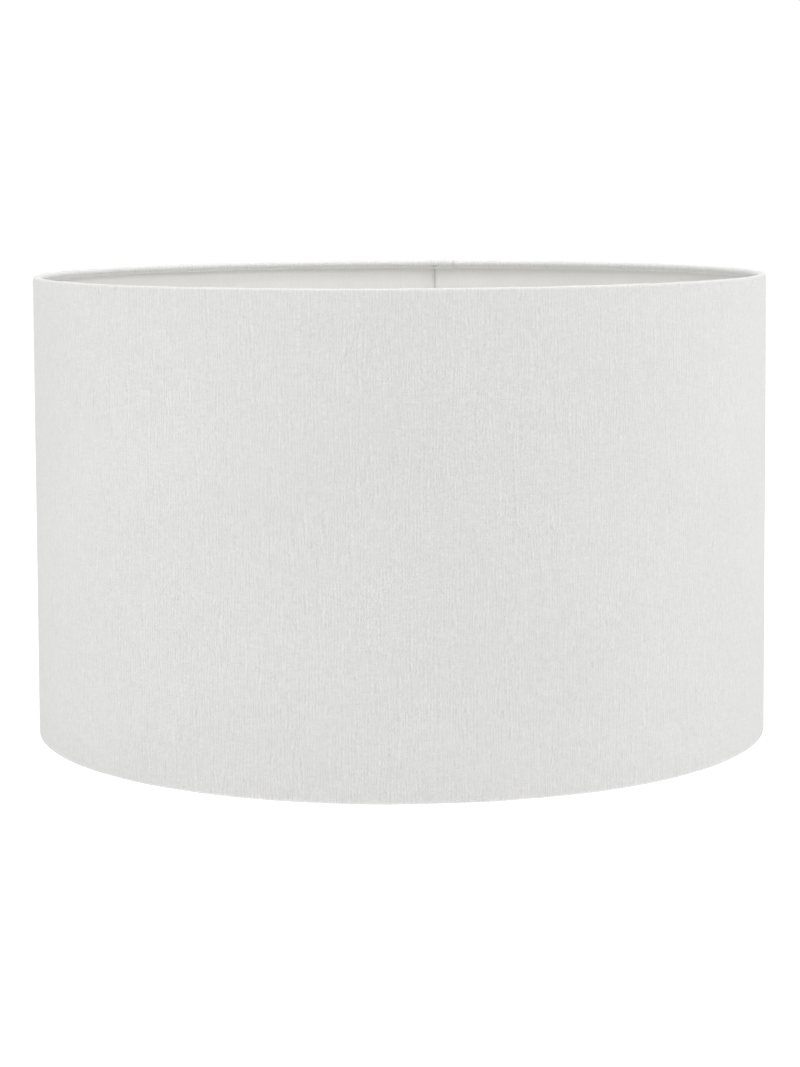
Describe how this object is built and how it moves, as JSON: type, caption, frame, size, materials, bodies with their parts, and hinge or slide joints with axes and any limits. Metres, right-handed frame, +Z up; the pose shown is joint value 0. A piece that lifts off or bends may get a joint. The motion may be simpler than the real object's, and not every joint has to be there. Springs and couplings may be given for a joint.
{
  "type": "drum lamp shade",
  "caption": "Straight-sided drum shade for a table lamp: slub cotton and linen cloth rolled over wire rings, with a recessed washer fitter and a loose reducer ring.",
  "frame": {"origin": "middle of the base, on the surface that the lower hem stands on", "axes": "+Z up along the drum's axis; the lap seam is near +Y, at the back, and +X is to the right of a person who faces the front"},
  "size_m": [0.4, 0.4, 0.25],
  "materials": {
    "cover_cloth": "plain-woven slub cotton and linen, white, matt",
    "backing": "translucent white PVC laminate, matt",
    "adhesive_tape": "clear double-sided adhesive tape",
    "frame_wire": "white powder coat, satin",
    "reducer_plastic": "moulded white plastic, satin"
  },
  "bodies": {
    "shade": {"fabric_cover": "cover_cloth", "backing_panel": "backing", "seam_tape": "adhesive_tape", "top_ring": "frame_wire", "bottom_ring": "frame_wire", "top_ring_tape": "adhesive_tape", "bottom_ring_tape": "adhesive_tape", "spider_arm_1": "frame_wire", "spider_arm_2": "frame_wire", "spider_arm_3": "frame_wire", "fitter_washer": "frame_wire"},
    "reducer": {"reducer_ring": "reducer_plastic"}
  },
  "joints": [
    {"name": "reducer_lift", "type": "slide", "parent": "shade", "child": "reducer", "axis": [0, 0, 1], "range_m": [0, 0.23]}
  ]
}
